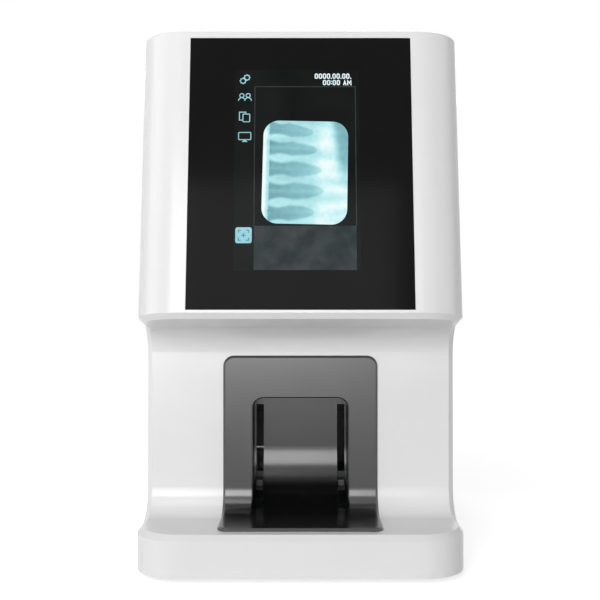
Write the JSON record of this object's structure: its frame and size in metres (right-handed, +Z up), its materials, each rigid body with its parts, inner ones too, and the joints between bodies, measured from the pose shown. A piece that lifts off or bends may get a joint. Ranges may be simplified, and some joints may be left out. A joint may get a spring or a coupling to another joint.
{
  "type": "phosphor plate scanner",
  "caption": "Desktop reader for phosphor imaging plates: leaning touch-screen head over a loading niche, rounded base, plate lift and laser scanning bench inside.",
  "frame": {"origin": "under the middle of the object, on the surface that its feet stand on", "axes": "+Z up, -Y towards the user (screen and niche), +X to the user's right"},
  "size_m": [0.15, 0.226, 0.2497],
  "materials": {
    "white_gloss": "gloss moulded",
    "dark_gloss": "high gloss",
    "black_glass": "polished, printed black behind",
    "foam_tape": "matt",
    "display_metal": "bright",
    "black_moulding": "fine texture",
    "circuit_board": "satin lacquer",
    "zinc_sheet": "zinc plated",
    "foot_rubber": "matt",
    "screw_steel": "zinc plated",
    "ground_steel": "ground",
    "bronze": "turned",
    "motor_steel": "satin",
    "white_acetal": "satin",
    "pulley_aluminium": "turned",
    "belt_rubber": "matt",
    "roller_rubber": "ground, matt",
    "black_anodised": "black anodised",
    "mirror_coat": "polished",
    "clear_glass": "polished",
    "blue_glass": "polished",
    "socket_metal": "bright"
  },
  "bodies": {
    "casing": {"front_cover": "white_gloss", "rear_cover": "white_gloss", "bottom_plate": "zinc_sheet", "rubber_feet": "foot_rubber", "case_screws": "screw_steel", "cover_glass": "black_glass", "glass_gasket": "foam_tape", "display_panel": "display_metal", "display_bracket": "black_moulding", "display_board": "circuit_board", "niche_insert": "dark_gloss", "niche_liner": "dark_gloss", "lift_frame": "black_anodised", "lift_rods": "ground_steel", "lift_motor": "motor_steel", "left_side_plate": "zinc_sheet", "right_side_plate": "zinc_sheet", "roller_bearings": "white_acetal", "front_guide": "black_moulding", "rear_guide": "black_moulding", "drive_belt": "belt_rubber", "motor_bracket": "zinc_sheet", "feed_motor": "motor_steel", "optics_bench": "black_anodised", "chassis_posts": "bronze", "laser_module": "bronze", "laser_mount": "black_anodised", "scan_motor": "motor_steel", "lens_holder": "black_anodised", "scan_lens": "clear_glass", "light_guide": "clear_glass", "blue_filter": "blue_glass", "detector_module": "motor_steel", "detector_bracket": "zinc_sheet", "erase_board": "circuit_board", "erase_heat_sink": "pulley_aluminium", "main_board": "circuit_board", "processor_heat_sink": "pulley_aluminium", "network_socket": "socket_metal", "usb_socket": "socket_metal", "dc_inlet": "black_moulding", "rocker_housing": "black_moulding"},
    "lift_carriage": {"lift_carriage": "black_moulding", "lift_bushes": "bronze", "lift_nut": "bronze"},
    "lift_screw": {"lift_screw": "ground_steel"},
    "upper_drive_roller": {"upper_drive_shaft": "ground_steel", "upper_drive_sleeve": "roller_rubber", "upper_pulley": "pulley_aluminium"},
    "lower_drive_roller": {"lower_drive_shaft": "ground_steel", "lower_drive_sleeve": "roller_rubber", "lower_pulley": "pulley_aluminium"},
    "feed_drive": {"motor_shaft": "ground_steel", "motor_pulley": "pulley_aluminium"},
    "upper_pinch_roller": {"upper_pinch_roller": "white_acetal"},
    "lower_pinch_roller": {"lower_pinch_roller": "white_acetal"},
    "scan_mirror": {"mirror_holder": "black_anodised", "scan_mirror": "mirror_coat"},
    "power_rocker": {"power_rocker": "black_moulding"}
  },
  "joints": [
    {"name": "plate_lift", "type": "slide", "parent": "casing", "child": "lift_carriage", "axis": [0, 0, 1], "range_m": [0, 0.037]},
    {"name": "lift_screw_turn", "type": "hinge", "parent": "casing", "child": "lift_screw", "pos_m": [0, -0.031, 0.042], "axis": [0, 0, 1], "range_deg": [-1666, 0]},
    {"name": "upper_feed_turn", "type": "hinge", "parent": "casing", "child": "upper_drive_roller", "pos_m": [0, -0.0393, 0.116], "axis": [1, 0, 0], "continuous": true},
    {"name": "lower_feed_turn", "type": "hinge", "parent": "casing", "child": "lower_drive_roller", "pos_m": [0, -0.0393, 0.088], "axis": [1, 0, 0], "continuous": true},
    {"name": "motor_turn", "type": "hinge", "parent": "casing", "child": "feed_drive", "pos_m": [0, -0.0393, 0.142], "axis": [1, 0, 0], "continuous": true},
    {"name": "upper_pinch_turn", "type": "hinge", "parent": "casing", "child": "upper_pinch_roller", "pos_m": [0, -0.0497, 0.116], "axis": [1, 0, 0], "continuous": true},
    {"name": "lower_pinch_turn", "type": "hinge", "parent": "casing", "child": "lower_pinch_roller", "pos_m": [0, -0.0497, 0.088], "axis": [1, 0, 0], "continuous": true},
    {"name": "mirror_sweep", "type": "hinge", "parent": "casing", "child": "scan_mirror", "pos_m": [0, 0.062, 0.102], "axis": [0, 0, 1], "range_deg": [-6, 6], "stiffness_Nm_per_rad": 0.004},
    {"name": "power_switch", "type": "hinge", "parent": "casing", "child": "power_rocker", "pos_m": [0.044, 0.106, 0.029], "axis": [1, 0, 0], "range_deg": [0, 20]}
  ],
  "couplings": [
    {"joint": "lift_screw_turn", "follows": "plate_lift", "rad_per_m": -785.4},
    {"joint": "lower_feed_turn", "follows": "upper_feed_turn", "ratio": 1},
    {"joint": "motor_turn", "follows": "upper_feed_turn", "ratio": 1},
    {"joint": "upper_pinch_turn", "follows": "upper_feed_turn", "ratio": -1.25},
    {"joint": "lower_pinch_turn", "follows": "upper_feed_turn", "ratio": -1.25}
  ]
}
